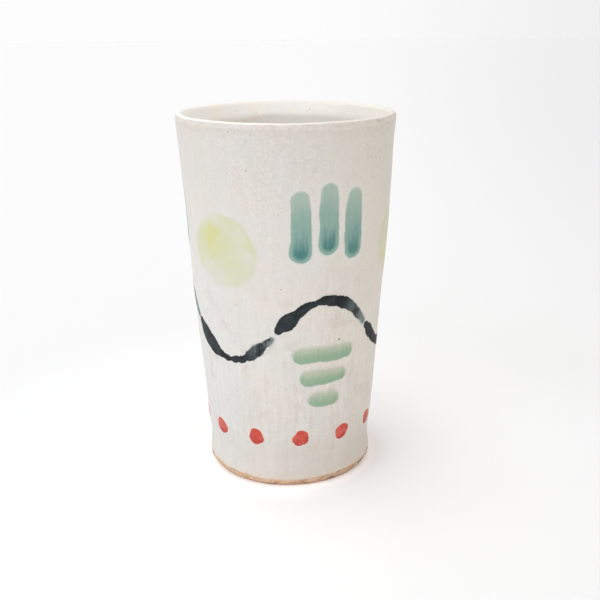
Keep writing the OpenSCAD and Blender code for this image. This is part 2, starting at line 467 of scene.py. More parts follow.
def make_clay():
    n = 448
    a = azimuths(n)
    lip_a, lip_b = -LEAN, BEVEL_A + np.pi / 2
    # Section from the middle of the underside, round the foot, up, over and down inside.
    r, z = [], []

    def add(rr, zz):
        r.extend(np.atleast_1d(rr))
        z.extend(np.atleast_1d(zz))

    add(np.linspace(0.6, RECESS_R - 1.4, 44), np.full(44, RECESS_D))
    rr, zz = arc(RECESS_R - 1.2, RECESS_D - 0.9, 0.9, np.pi / 2, np.pi / 4, 5)
    add(rr[1:], zz[1:])
    rr, zz = arc(RECESS_R + 1.35, 0.75, 0.75, np.pi * 1.25, np.pi * 1.5, 7)
    add(rr, zz)
    add(np.linspace(RECESS_R + 1.8, clay_r(0) - BEVEL - 0.9, 14), np.zeros(14))
    turned = rounded(
        [(clay_r(0) - BEVEL - 0.5, 0.0), (clay_r(0) - BEVEL + 0.05, 0.0), (clay_r(0) - BEVEL + 0.35, 0.45)], 3
    )
    add(turned[:, 0], turned[:, 1])
    face = np.linspace(0.18, 0.82, 14)
    add(clay_r(0) - BEVEL + face * (clay_r(BEVEL_RISE) - clay_r(0) + BEVEL), face * BEVEL_RISE)
    turned = rounded(
        [(clay_r(0) - BEVEL + 0.86 * (clay_r(BEVEL_RISE) - clay_r(0) + BEVEL), 0.86 * BEVEL_RISE), (clay_r(BEVEL_RISE), BEVEL_RISE), (clay_r(3.5), 3.5)], 3
    )
    add(turned[:, 0], turned[:, 1])
    low = np.linspace(3.7, 5.2, 9)
    add(clay_r(low), low)
    high = np.concatenate([[6.1, 7.0, 7.9, 8.8, 9.7, 10.6, 11.6], np.linspace(16, LIP_Z - 2, 13)])
    add(clay_r(high), high)
    rr, zz = arc(LIP_X, LIP_Z, LIP_R, lip_a, lip_b, 13)
    add(rr, zz)
    add(*bend(0.0))
    down = np.linspace(BEND_Z - 2, CORNER_Z + 1, 12)
    add(inside_r(down), down)
    rr, zz = arc(CORNER_X, CORNER_Z, CORNER_R, -IN_LEAN, -np.pi / 2, 9)
    add(rr, zz)
    add(np.linspace(CORNER_X - 2, 1.5, 6), np.full(6, FLOOR_Z))
    r, z = np.array(r), np.array(z)
    rows = len(r)
    rr = np.repeat(r[:, None], n, 1)
    zz = np.repeat(z[:, None], n, 1)
    aa = np.broadcast_to(a[None, :], rr.shape)
    # Trimming lines and a dented edge on the bare foot, rings cut into the recess.
    j = np.arange(rows)
    under = (j < 44)[:, None]
    foot = step_up(-zz, -5.0, -4.4) * (rr > RECESS_R + 2)
    outer = foot * step_up(zz, 0.05, 1.2)
    lines = 0.028 * np.sin(2 * np.pi * zz / 0.62 + 1.5 * np.sin(aa) + 2 * ripple(aa, zz, 51, 5, 4, 0.4))
    rough = 0.035 * ripple(aa, zz, 52, 30, 150, 4.0, 0.3)
    rr = rr + outer * (lines + rough)
    edge = (hill(zz, 0.2, 0.5) + hill(zz, BEVEL_RISE, 0.5)) * foot
    rr = rr - edge * (0.10 * np.clip(ripple(aa, 0, 53, 24, 60, 0.1, 0.3), -0.6, 2) + 0.03)
    swirl = 0.06 * np.sin(2 * np.pi * rr / 2.3 + aa) + 0.03 * ripple(aa, rr, 54, 18, 24, 1.2, 0.4)
    fade = step_up(rr, 1.5, 5) * (1 - step_up(rr, RECESS_R - 4, RECESS_R - 1.6))
    zz = zz + under * (swirl * fade + 0.12)
    ring = (zz < 0.02) & (rr > RECESS_R)
    zz = np.where(ring & (np.abs(rr - (RECESS_R + 4.2)) < 2.6), zz + 0.03 * np.abs(ripple(aa, rr, 55, 20, 40, 2.0, 0.3)), zz)
    zz = np.maximum(zz, 0.0)
    points = round_points(rr, zz, a)
    length = section_length(r, z)
    last = int(np.argmax(z > 5.3))
    shown = length[last]
    heights = np.where(j <= last, 0.02 + 0.9 * length / shown, 0.93 + 0.06 * (length - shown) / (length[-1] - shown))
    left, right = round_map(rows, n, heights)
    fields = {
        "line_gap": zz - glaze_line(aa),
        "under": np.broadcast_to(under, rr.shape) * 1.0,
        "low": np.clip(1 - zz / 3.2, 0, 1),
    }
    middle = float(zz[0].mean())
    ob = grid_mesh(
        "clay_cup", points, fields, start=(0, 0, middle), end=(0, 0, FLOOR_Z), left=left, right=right
    )
    return ob


# ---------------------------------------------------------------------------------------------
# Outside glaze: a coat with a rolled, uneven lower edge
# ---------------------------------------------------------------------------------------------

COAT_IN = 0.30  # how far the coats' hidden faces lie under their outer faces


def outer_surface(a, z):
    """Radius of the outside glaze's face before the hand-made shifts."""
    return wall_r(z) + wall_skin(a, z)


def make_outside_glaze():
    n = 400
    a = azimuths(n)
    line, top = glaze_line(a), np.full(n, CUP_H - 1.7)
    # Distances up the wall from the lower edge: close together in the rolled edge.
    near = np.array([0.0, 0.03, 0.08, 0.15, 0.24, 0.36, 0.52, 0.72, 0.96, 1.25, 1.6, 2.0, 2.5])
    t = np.linspace(0, 1, 196)[1:]
    rows, radii = [], []
    for d in near:
        rows.append(line + d)
        roll = math.sqrt(max(0.0, 1 - (1 - min(d / 0.36, 1.0)) ** 2))
        radii.append(-GLAZE_T * (1 - roll) - 0.02 * (1 - roll))
    base = line + near[-1]
    for s in t:
        rows.append(base + s * (top - base))
        radii.append(0.0)
    z = np.array(rows)
    aa = np.broadcast_to(a[None, :], z.shape)
    gap = z - line[None, :]
    bead = 0.10 * hill(gap, 1.0, 0.8) * (0.6 + 0.5 * ripple(aa, 0, 61, 14, 30, 0.1, 0.4))
    tuck = np.array(radii)[:, None]
    under_lip = 0.16 * step_up(z - lap_line(a)[None, :], 0.35, 0.95)
    r = outer_surface(aa, z) + tuck + bead * (gap > 0.1) - under_lip
    # Hidden face, back down against the clay.
    back = np.array([1.0, 0.7, 0.4, 0.1, 0.055, 0.02])
    zb = line[None, :] + 0.15 + back[:, None] * (top - line - 0.15)[None, :]
    rb = wall_r(zb) - COAT_IN - 0.06 - (back[:, None] == 1.0) * 0.02
    shown = len(z)
    z, r = np.concatenate([z, zb]), np.concatenate([r, rb])
    points = round_points(r, z, a)
    mid = z.mean(1)
    heights = np.concatenate([0.005 + 0.955 * (mid[:shown] - mid[0]) / (mid[shown - 1] - mid[0]), np.linspace(0.966, 0.992, len(back)), [0.998]])
    left, right = round_map(len(z) + 1, n, heights)
    aa = np.broadcast_to(a[None, :], z.shape)
    fields = mark_fields(aa, z)
    fields["foot_gap"] = z - line[None, :]
    fields["lap_gap"] = lap_line(a)[None, :] - z
    return grid_mesh("outside_glaze", points, fields, ring=True, left=left, right=right)


# ---------------------------------------------------------------------------------------------
# Liner glaze: floor, inside wall, lip and the lap over the outside
# ---------------------------------------------------------------------------------------------


def make_liner_glaze():
    n = 400
    a = azimuths(n)
    g = GLAZE_T
    lap = lap_line(a)
    # From the middle of the floor outwards, up the wall and the bevel, over the lip and down to the lap.
    floor_r = np.linspace(0.8, CORNER_X, 26)
    cr, cz = arc(CORNER_X, CORNER_Z, CORNER_R - g, -np.pi / 2, -IN_LEAN, 16)
    up = np.linspace(CORNER_Z + 0.6, BEND_Z - 2.8, 90)
    up_r = inside_r(up) - g / math.cos(IN_LEAN)
    low = (inside_r(BEND_Z - 2.6) - g / math.cos(IN_LEAN), BEND_Z - 2.6)
    crease = rounded([low, bend(g), lip_in(g)], 4)[:-1]
    lr, lz = arc(LIP_X, LIP_Z, LIP_R + g, BEVEL_A + np.pi / 2, -LEAN, 30)
    r = np.concatenate([floor_r, cr[1:], up_r, crease[:, 0], lr])
    z = np.concatenate([np.full(26, FLOOR_Z + g), cz[1:], up, crease[:, 1], lz])
    first_lip = len(r) - 30
    rr, zz = np.repeat(r[:, None], n, 1), np.repeat(z[:, None], n, 1)
    aa = np.broadcast_to(a[None, :], rr.shape)
    j = np.arange(len(r))[:, None]
    inner = (j < first_lip) * 1.0
    rings = 0.07 * np.sin(2 * np.pi * zz / 8.2 + aa + 0.8 * ripple(aa, zz, 71, 6, 3, 0.06))
    rings = rings + 0.03 * np.sin(2 * np.pi * zz / 3.7 + 2.0 * np.sin(aa))
    climb = step_up(zz, CORNER_Z, CORNER_Z + 14) * (1 - step_up(zz, BEND_Z - 4, BEND_Z + 3))
    rr = rr + inner * climb * rings + inner * 0.03 * climb * ripple(aa, zz, 72, 20, 16, 0.3, 0.5)
    # The bevel's lower edge wanders, and the bevel itself is a little wavy.
    near_bend = inner * hill(zz, BEND_Z, 2.6)
    zz = zz + near_bend * (0.55 * ripple(aa, 0, 77, 8, 7, 0.1) + 0.18 * ripple(aa, 0, 78, 14, 30, 0.1, 0.4))
    rr = rr + inner * step_up(zz, BEND_Z - 3, BEND_Z) * 0.05 * ripple(aa, zz, 79, 18, 22, 0.9, 0.4) * (1 - step_up(zz, LIP_Z - 1.5, LIP_Z))
    curl = 0.16 * np.sin(2 * np.pi * rr / 6.5 - aa) * step_up(rr, 1.5, 6) * (1 - step_up(rr, CORNER_X - 4, CORNER_X + 5))
    zz = zz + (j < 41) * (curl + 0.03 * ripple(aa, rr, 73, 12, 8, 0.3, 0.5) * step_up(rr, 1.5, 6))
    # The lip is rubbed a little flat here and there.
    on_lip = (j >= first_lip) * 1.0
    soft = 0.07 * ripple(aa, 0, 74, 14, 22, 0.1, 0.4) + 0.03 * ripple(aa, 0, 75, 24, 90, 0.1, 0.2)
    zz = zz + on_lip * soft * step_up(zz, LIP_Z - 0.2, CUP_H) - 0.04
    # The lap thins out over the outside glaze; it stands up only where it ran.
    near = np.array([1.0, 0.82, 0.64, 0.47, 0.32, 0.2, 0.12, 0.06, 0.02, 0.0])
    start = LIP_Z - (LIP_R + g) * math.sin(LEAN)
    zl = lap[None, :] + near[1:, None] * (start - lap)[None, :]
    gap = zl - lap[None, :]
    al = np.broadcast_to(a[None, :], zl.shape)
    ran = 0.25 + 0.75 * hill(turn(al - 0.62), 0, 0.45) + 0.5 * hill(turn(al + 2.2), 0, 0.5)
    roll = np.sqrt(np.maximum(0.0, 1 - (1 - np.clip(gap / 0.4, 0, 1)) ** 2))
    bead = 0.045 * ran * hill(gap, 0.55, 0.5) * (0.7 + 0.5 * ripple(al, 0, 76, 14, 34, 0.1, 0.4))
    rl = wall_r(zl) + wall_skin(al, zl) + 0.012 + bead - (1 - roll) * 0.06
    blend = step_up(near[1:, None], 0.55, 1.0)
    rl = blend * (wall_r(zl) + 0.0) + (1 - blend) * rl
    shown = len(rr) + len(rl)
    # Hidden face against the clay, back to the middle of the floor.
    hr, hz = arc(LIP_X, LIP_Z, LIP_R + 0.04, -LEAN, BEVEL_A + np.pi / 2, 13)
    hb = bend(0.04)
    h_up = np.linspace(BEND_Z - 3, CORNER_Z + 2, 8)
    hc, hcz = arc(CORNER_X, CORNER_Z, CORNER_R - 0.04, -IN_LEAN, -np.pi / 2, 7)
    hidden_r = np.concatenate([hr, [hb[0]], inside_r(h_up) - 0.04, hc, [CORNER_X - 4, 6.0]])
    hidden_z = np.concatenate([hz, [hb[1]], h_up, hcz, [FLOOR_Z + 0.04, FLOOR_Z + 0.04]])
    tuck_z = (lap + 0.12)[None, :]
    tuck_r = wall_r(tuck_z) - 0.30
    z = np.concatenate([zz, zl, tuck_z, np.repeat(hidden_z[:, None], n, 1)])
    r = np.concatenate([rr, rl, tuck_r, np.repeat(hidden_r[:, None], n, 1)])
    points = round_points(r, z, a)
    mid_r, mid_z = r.mean(1), z.mean(1)
    length = section_length(mid_r, mid_z)
    end = length[shown - 1]
    k = np.arange(len(r))
    heights = np.where(k < shown, 0.005 + 0.96 * length / end, 0.97 + 0.025 * (length - end) / (length[-1] - end))
    left, right = round_map(len(r), n, heights)
    # 0 inside the cup, 1 on the outer side of the lip; the top of the lip lies between.
    side = np.clip((k - first_lip - 17) / 7.0, 0, 1)
    fields = {
        "lip": ((k < shown) * step_up(mid_z, BEND_Z - 1.5, BEND_Z + 2.3))[:, None] * np.ones((1, n)),
        "outside": side[:, None] * np.ones((1, n)),
        "lap_edge": np.where((k >= first_lip + 14)[:, None], z - lap[None, :], 20.0),
    }
    return grid_mesh(
        "liner_glaze_coat", points, fields,
        start=(0, 0, float(zz[0].mean())), end=(0, 0, FLOOR_Z + 0.04), left=left, right=right,
    )


# ---------------------------------------------------------------------------------------------
# Stain marks: low closed pads that rise from the glaze and sink under it past their edge
# ---------------------------------------------------------------------------------------------


def on_glaze(a, z, lift):
    """Points of the outside glaze's face, raised by lift."""
    r = outer_surface(a, z) + lift + body_shift(a, z)
    z2 = z + lip_drop(a, z)
    return np.stack([r * np.sin(a), -r * np.cos(a), z2], -1)


def pad_height(d, top, inside, edge):
    """Height of a mark's face over the glaze at distance d from its outline."""
    rise = step_up(-d, -edge, inside)
    return -0.06 + (top + 0.06) * rise


def join_meshes(name, parts):
    """One object from several closed patches."""
    for p in parts:
        p.select_set(False)
    with bpy.context.temp_override(
        active_object=parts[0], object=parts[0], selected_objects=parts, selected_editable_objects=parts
    ):
        bpy.ops.object.join()
    parts[0].name = name
    parts[0].data.name = name
    return parts[0]


def make_pads(name, places, outline, margin, lift, tiles):
    """Pads seen square on from each place (azimuth, height), with their outline a function of the angle.

    outline gives the distance from the middle to the edge. lift gives the height of the face from the
    fields of its points. tiles is how many pads the flat map has across and up.
    """
    parts = []
    across, up = tiles
    for k, (a0, z0) in enumerate(places):
        size = outline(k, np.linspace(0, 2 * np.pi, 9)).max()
        cols = int(np.clip(2 * np.pi * size / 0.42, 56, 224))
        rows = int(np.clip(size / 0.40, 8, 38))
        phi = 2 * np.pi * np.arange(cols) / cols
        edge = outline(k, phi)
        t = np.linspace(0.04, 1, rows)
        rad = np.concatenate([t[:, None] * edge[None, :], edge[None, :] + np.linspace(margin / 4, margin, 4)[:, None]])
        x, v = rad * np.cos(phi), rad * np.sin(phi)
        z = z0 + v
        a = a0 + np.arcsin(np.clip(x / wall_r(z), -0.98, 0.98))
        fields = mark_fields(a, z)
        face = on_glaze(a, z, lift(fields))
        low = rad[::-1][[0, 3, 8] if rows > 8 else [0, 2, 5]]
        xl, vl = low * np.cos(phi), low * np.sin(phi)
        zl = z0 + vl
        al = a0 + np.arcsin(np.clip(xl / wall_r(zl), -0.98, 0.98))
        sunk = on_glaze(al, zl, np.full(al.shape, -0.16))
        points = np.concatenate([face, sunk])
        fields = {
            key: np.concatenate([f, more])
            for (key, f), more in zip(fields.items(), mark_fields(al, zl).values(), strict=True)
        }
        full = float(rad.max()) * 1.02
        tile = np.array([(k % across) / across, (k // across) / up])
        # The face fills most of the tile, and the hidden side is a small disc in its corner.
        place = np.concatenate([np.stack([x, v], -1) * 0.46 / full + 0.5, np.stack([xl, vl], -1) * 0.03 / full + 0.035])
        uv = tile + place / np.array([across, up])
        nxt = np.roll(uv, -1, axis=1)
        middle = a0
        start = on_glaze(np.array(middle), np.array(z0), lift(mark_fields(np.array([middle]), np.array([z0])))[0])
        end = on_glaze(np.array(middle), np.array(z0), -0.16)
        parts.append(
            grid_mesh(f"{name}_{k}", points, fields, start=tuple(start), end=tuple(end), left=uv, right=nxt)
        )
    return join_meshes(name, parts)


def make_wave_pad():
    cols = 960
    a = FIRST_CREST - math.radians(30) + 2 * np.pi * np.arange(cols) / cols
    rise = -WAVE_RISE * 3 * np.sin(3 * (a - FIRST_CREST)) / wall_r(WAVE_Z)
    slant = np.arctan(rise)
    reach = 4.4
    v = np.linspace(-reach, reach, 30)
    down = np.linspace(reach, -reach, 6)
    rows_v = np.concatenate([v, down])
    aa = a[None, :] - rows_v[:, None] * np.sin(slant)[None, :] / wall_r(WAVE_Z)
    zz = wave_height(a)[None, :] + rows_v[:, None] * np.cos(slant)[None, :]
    fields = mark_fields(aa, zz)
    lift = dark_lift(fields)
    lift[len(v) :] = -0.16
    points = on_glaze(aa, zz, lift)
    # The map holds the wave as six strips, one above another.
    per = cols // 6
    seg = np.arange(cols) // per
    u0 = (np.arange(cols) - seg * per) / per
    u1 = u0 + 1 / per
    h = np.concatenate([np.linspace(0.03, 0.86, len(v)), np.linspace(0.90, 0.95, len(down)), [0.97]])
    left = np.stack([np.broadcast_to(0.004 + 0.992 * u0, (len(h), cols)), (seg[None, :] + h[:, None]) / 6], -1)
    right = np.stack([np.broadcast_to(0.004 + 0.992 * u1, (len(h), cols)), (seg[None, :] + h[:, None]) / 6], -1)
    return grid_mesh("stain_wave", points, fields, ring=True, left=left, right=right)


def dark_lift(f):
    d, s = f["hard_marks"][..., 1], f["stroke"]
    return pad_height(d, 0.11 - 0.03 * s, 0.55, 0.30)


def red_lift(f):
    return pad_height(f["hard_marks"][..., 0], 0.12, 0.6, 0.30)


def yellow_lift(f):
    return pad_height(f["soft_marks"][..., 0], 0.05 + 0.02 * f["hard_marks"][..., 2], 1.6, 1.5)


def green_lift(f):
    return pad_height(f["soft_marks"][..., 1], 0.06 + 0.03 * f["hard_marks"][..., 2], 1.1, 1.2)


def teal_lift(f):
    return pad_height(f["soft_marks"][..., 2], 0.07 + 0.05 * f["hard_marks"][..., 2], 1.1, 1.1)


def bar_outline(half, radius):
    """Distance from the middle of a rounded bar to its edge, by angle."""

    def at(_k, phi):
        c, s = np.abs(np.cos(phi)), np.abs(np.sin(phi))
        # Along the straight side, or on the round end.
        flat = radius / np.maximum(s, 1e-6)
        m = half - radius
        bend = m * c + np.sqrt(np.maximum(radius**2 - (m * s) ** 2, 0.0))
        return np.where(flat * c <= m, flat, bend)

    return at


# ---------------------------------------------------------------------------------------------
# Materials
# ---------------------------------------------------------------------------------------------


class Net:
    """A material's node tree, written as expressions."""

    def __init__(self, name):
        self.mat = bpy.data.materials.new(name)
        self.mat.use_nodes = True
        self.tree = self.mat.node_tree
        self.tree.nodes.clear()
        self.out = self.tree.nodes.new("ShaderNodeOutputMaterial")
        self.bsdf = self.tree.nodes.new("ShaderNodeBsdfPrincipled")
        self.tree.links.new(self.bsdf.outputs[0], self.out.inputs["Surface"])
        geo = self.tree.nodes.new("ShaderNodeTexCoord")
        self.mm = self.vector("MULTIPLY", geo.outputs["Object"], (1000.0, 1000.0, 1000.0))
        parts = self.tree.nodes.new("ShaderNodeSeparateXYZ")
        self.tree.links.new(self.mm, parts.inputs[0])
        self.x, self.z = parts.outputs[0], parts.outputs[2]

    def put(self, socket, value):
        if isinstance(value, bpy.types.NodeSocket):
            self.tree.links.new(value, socket)
        elif isinstance(value, tuple) and len(value) == 3 and socket.type == "RGBA":
            socket.default_value = (*value, 1.0)
        else:
            socket.default_value = value

    def math(self, op, a, b=0.0, c=0.0, clamp=False):
        node = self.tree.nodes.new("ShaderNodeMath")
        node.operation, node.use_clamp = op, clamp
        for socket, value in zip(node.inputs, (a, b, c)):
            self.put(socket, value)
        return node.outputs[0]

    def add(self, a, b):
        return self.math("ADD", a, b)

    def mul(self, a, b):
        return self.math("MULTIPLY", a, b)

    def vector(self, op, a, b):
        node = self.tree.nodes.new("ShaderNodeVectorMath")
        node.operation = op
        self.put(node.inputs[0], a)
        self.put(node.inputs[1], b)
        return node.outputs["Value"] if op in ("DISTANCE", "LENGTH", "DOT_PRODUCT") else node.outputs[0]

    def noise(self, size, detail=2.0, rough=0.5, squash=(1.0, 1.0, 1.0), shift=0.0, twist=0.0):
        """Noise of features about size mm wide, 0 to 1."""
        vec = self.vector("MULTIPLY", self.mm, tuple(s / size for s in squash))
        if shift:
            vec = self.vector("ADD", vec, (shift, shift * 0.7, shift * 1.3))
        node = self.tree.nodes.new("ShaderNodeTexNoise")
        node.noise_dimensions = "3D"
        self.put(node.inputs["Vector"], vec)
        node.inputs["Scale"].default_value = 1.0
        node.inputs["Detail"].default_value = detail
        node.inputs["Roughness"].default_value = rough
        node.inputs["Distortion"].default_value = twist
        return node.outputs["Fac"]

    def cells(self, size, shift=0.0):
        """Distance to the nearest of scattered points, in cell widths, and that point's own random colour."""
        vec = self.vector("MULTIPLY", self.mm, (1 / size, 1 / size, 1 / size))
        if shift:
            vec = self.vector("ADD", vec, (shift, shift * 0.7, shift * 1.3))
        node = self.tree.nodes.new("ShaderNodeTexVoronoi")
        node.feature = "F1"
        self.put(node.inputs["Vector"], vec)
        node.inputs["Scale"].default_value = 1.0
        node.inputs["Randomness"].default_value = 1.0
        split = self.tree.nodes.new("ShaderNodeSeparateColor")
        self.tree.links.new(node.outputs["Color"], split.inputs[0])
        return node.outputs["Distance"], split.outputs[0], split.outputs[1]

    def fit(self, value, a, b, c=0.0, d=1.0, smooth=True):
        node = self.tree.nodes.new("ShaderNodeMapRange")
        node.interpolation_type = "SMOOTHSTEP" if smooth else "LINEAR"
        node.clamp = True
        for socket, v in zip(node.inputs, (value, a, b, c, d)):
            self.put(socket, v)
        return node.outputs[0]

    def mix(self, fac, a, b, blend="MIX"):
        node = self.tree.nodes.new("ShaderNodeMix")
        node.data_type, node.blend_type, node.clamp_factor = "RGBA", blend, True
        self.put(node.inputs[0], fac)
        self.put(node.inputs[6], a)
        self.put(node.inputs[7], b)
        return node.outputs[2]

    def attribute(self, name):
        node = self.tree.nodes.new("ShaderNodeAttribute")
        node.attribute_type, node.attribute_name = "GEOMETRY", name
        return node

    def parts(self, name):
        split = self.tree.nodes.new("ShaderNodeSeparateXYZ")
        self.tree.links.new(self.attribute(name).outputs["Vector"], split.inputs[0])
        return split.outputs[0], split.outputs[1], split.outputs[2]

    def brighten(self, colour, amount):
        """colour times 1 + amount, where amount is a socket."""
        node = self.tree.nodes.new("ShaderNodeVectorMath")
        node.operation = "SCALE"
        self.put(node.inputs[0], colour)
        self.put(node.inputs["Scale"], self.add(amount, 1.0))
        return node.outputs[0]

    def bump(self, height_mm, strength=1.0):
        node = self.tree.nodes.new("ShaderNodeBump")
        node.inputs["Strength"].default_value = strength
        node.inputs["Distance"].default_value = 1.0
        self.put(node.inputs["Height"], self.mul(height_mm, 0.001))
        self.tree.links.new(node.outputs[0], self.bsdf.inputs["Normal"])


def centred(net, value, amount):
    """A 0 to 1 value moved to lie round 0, times amount."""
    return net.mul(net.add(value, -0.5), amount)


WHITE = (0.672, 0.630, 0.584)
WHITE_PINK = (0.685, 0.626, 0.586)
WHITE_GREY = (0.658, 0.631, 0.595)
WHITE_SAND = (0.664, 0.624, 0.558)
CREAM = (0.910, 0.868, 0.806)
TAN, TAN_PALE, TAN_DEEP = (0.540, 0.340, 0.205), (0.625, 0.460, 0.335), (0.400, 0.225, 0.140)
YELLOW, YELLOW_DEEP = (0.605, 0.602, 0.430), (0.605, 0.588, 0.260)
GREEN_PALE, GREEN = (0.435, 0.462, 0.340), (0.232, 0.372, 0.238)
TEAL_PALE, TEAL, TEAL_DEEP = (0.325, 0.425, 0.355), (0.205, 0.345, 0.295), (0.040, 0.172, 0.165)
RED, RED_PALE, RED_DEEP = (0.530, 0.062, 0.040), (0.585, 0.110, 0.075), (0.400, 0.032, 0.024)
INK, INK_BODY, INK_GRAIN, INK_THIN = (0.007, 0.008, 0.009), (0.014, 0.020, 0.022), (0.050, 0.066, 0.075), (0.100, 0.150, 0.160)

# Iron specks that stand out, as (azimuth in degrees, height, radius).
SPECKS = [(31, 62, 0.42), (-4, 84, 0.22), (8, 38, 0.2), (-20, 128, 0.26), (47, 88, 0.22), (150, 70, 0.4), (205, 105, 0.3)]


def white_glaze(net):
    """Colour, roughness and relief of the bare white glaze outside."""
    big, mid = net.noise(15, 2.0), net.noise(5.0, 3.0, shift=7)
    grain, fine = net.noise(0.75, 3.0, 0.65, shift=3), net.noise(0.34, 2.0, 0.6, shift=5)
    mottle = net.noise(1.7, 2.0, 0.6, shift=19)
    streak = net.noise(1.25, 3.0, 0.55, squash=(1, 1, 0.04), shift=11)
    broad = net.noise(4.5, 2.0, 0.5, squash=(1, 1, 0.08), shift=17)
    colour = net.mix(net.fit(big, 0.38, 0.62), WHITE_PINK, WHITE_GREY)
    colour = net.mix(net.fit(mid, 0.42, 0.70, 0.15, 0.75), colour, WHITE)
    colour = net.mix(net.fit(net.noise(11, 2.0, shift=13), 0.48, 0.70, 0.0, 0.6), colour, WHITE_SAND)
    # Painted light colour: the wall is painted greyer and cooler at the lower left, the lit side, and sandier and
    # warmer on the right.
    cool_light_tint = net.mul(net.fit(net.x, -8.0, -32.0, 0.0, 0.60), net.fit(net.z, 108.0, 78.0))
    colour = net.mix(cool_light_tint, colour, (0.648, 0.642, 0.618))
    colour = net.mix(net.fit(net.x, 6.0, 36.0, 0.0, 0.60), colour, (0.664, 0.632, 0.545))
    low = net.fit(net.z, 30.0, 115.0, 1.0, 0.40)
    shade = net.add(centred(net, mid, 0.036), net.mul(centred(net, streak, 0.225), low))
    shade = net.add(shade, net.add(centred(net, grain, 0.105), centred(net, mottle, 0.075)))
    shade = net.add(shade, net.mul(net.add(centred(net, grain, 0.10), centred(net, mottle, 0.05)), low))
    shade = net.add(shade, centred(net, broad, 0.036))
    # A dry, finely pitted area, mostly high on the wall.
    dry = net.mul(net.fit(net.noise(24, 1.0, shift=23), 0.40, 0.58), net.fit(net.z, 60.0, 125.0))
    pits = net.fit(net.noise(1.15, 3.0, 0.6, shift=29, twist=0.4), 0.40, 0.62)
    shade = net.add(shade, net.mul(net.mul(dry, net.add(pits, -0.6)), 0.07))
    # Painted shade and light: the wall is painted darker towards the foot and a little darker towards the lip, and
    # lighter above mid-height on the left, the lit side. side runs from 0 on the left to 1 on the right.
    side = net.fit(net.x, -36.0, 14.0)
    shade = net.add(shade, net.add(net.fit(net.z, 14.0, 62.0, -0.060, 0.0), net.fit(net.z, 95.0, 140.0, 0.0, -0.045)))
    shade = net.add(shade, net.mul(net.fit(net.z, 20.0, 60.0), net.fit(side, 0.0, 1.0, 0.022, 0.002)))
    colour = net.brighten(colour, shade)
    # The coat thins to a warmer, darker tone near the foot. This is three times as strong on the right, which adds
    # painted shade on the shaded side.
    thin = net.mul(net.fit(net.add(net.z, centred(net, mid, 14.0)), 30.0, 3.0), net.fit(big, 0.30, 0.60, 0.55, 0.95))
    thin = net.mul(thin, net.fit(side, 0.0, 1.0, 0.22, 0.66))
    colour = net.mix(thin, colour, (0.533, 0.482, 0.420))
    # Faint toasted clouds, low on the wall.
    toast = net.mul(net.fit(net.noise(7.0, 3.0, 0.55, shift=107), 0.53, 0.70), net.fit(net.z, 112.0, 70.0))
    colour = net.mix(net.mul(toast, net.fit(grain, 0.42, 0.60, 0.12, 0.60)), colour, (0.560, 0.468, 0.402))
    # Iron specks: a few brown ones anywhere, finer grey ones under the lip.
    gap, chance, tone = net.cells(2.7, 4)
    rare = net.math("GREATER_THAN", chance, 0.80)
    dot = net.mul(net.fit(gap, 0.05, 0.11, 1.0, 0.0), rare)
    colour = net.mix(net.mul(dot, net.fit(tone, 0.0, 1.0, 0.12, 0.50)), colour, (0.26, 0.19, 0.14))
    gap, chance, tone = net.cells(1.25, 9)
    zone = net.mul(net.fit(net.z, 122.0, 139.0), net.fit(net.noise(11, 1.0, shift=31), 0.40, 0.60))
    dot = net.mul(net.mul(net.fit(gap, 0.12, 0.30, 1.0, 0.0), net.math("GREATER_THAN", chance, 0.45)), zone)
    colour = net.mix(net.mul(dot, 0.26), colour, (0.33, 0.33, 0.29))
    wobble = centred(net, net.noise(0.5, 2.0, shift=37), 0.3)
    for degrees, height, radius in SPECKS:
        a = math.radians(degrees)
        r = wall_r(height)
        far = net.add(net.vector("DISTANCE", net.mm, (r * math.sin(a), -r * math.cos(a), height)), wobble)
        dot = net.fit(far, radius * 0.65, radius * 1.4, 1.0, 0.0)
        colour = net.mix(net.mul(dot, 0.8), colour, (0.17, 0.11, 0.075))
    for degrees, height, radius in ((-33.6, 142.2, 0.22), (-28.4, 141.4, 0.34), (-22.5, 142.0, 0.2), (-16.7, 140.6, 0.26), (-19.0, 138.8, 0.2), (112, 141.0, 0.3), (160, 140.2, 0.24)):
        a = math.radians(degrees)
        r = wall_r(height)
        far = net.add(net.vector("DISTANCE", net.mm, (r * math.sin(a), -r * math.cos(a), height)), wobble)
        colour = net.mix(net.mul(net.fit(far, radius * 0.6, radius * 1.8, 1.0, 0.0), 0.5), colour, (0.30, 0.31, 0.25))
    relief = net.add(centred(net, grain, 0.020), net.mul(net.mul(dry, centred(net, pits, 1.0)), 0.014))
    relief = net.add(relief, centred(net, fine, 0.008))
    relief = net.add(relief, net.mul(centred(net, streak, 0.014), low))
    rough = net.add(net.fit(mid, 0.3, 0.7, 0.40, 0.48), net.mul(dry, 0.08))
    return colour, rough, relief


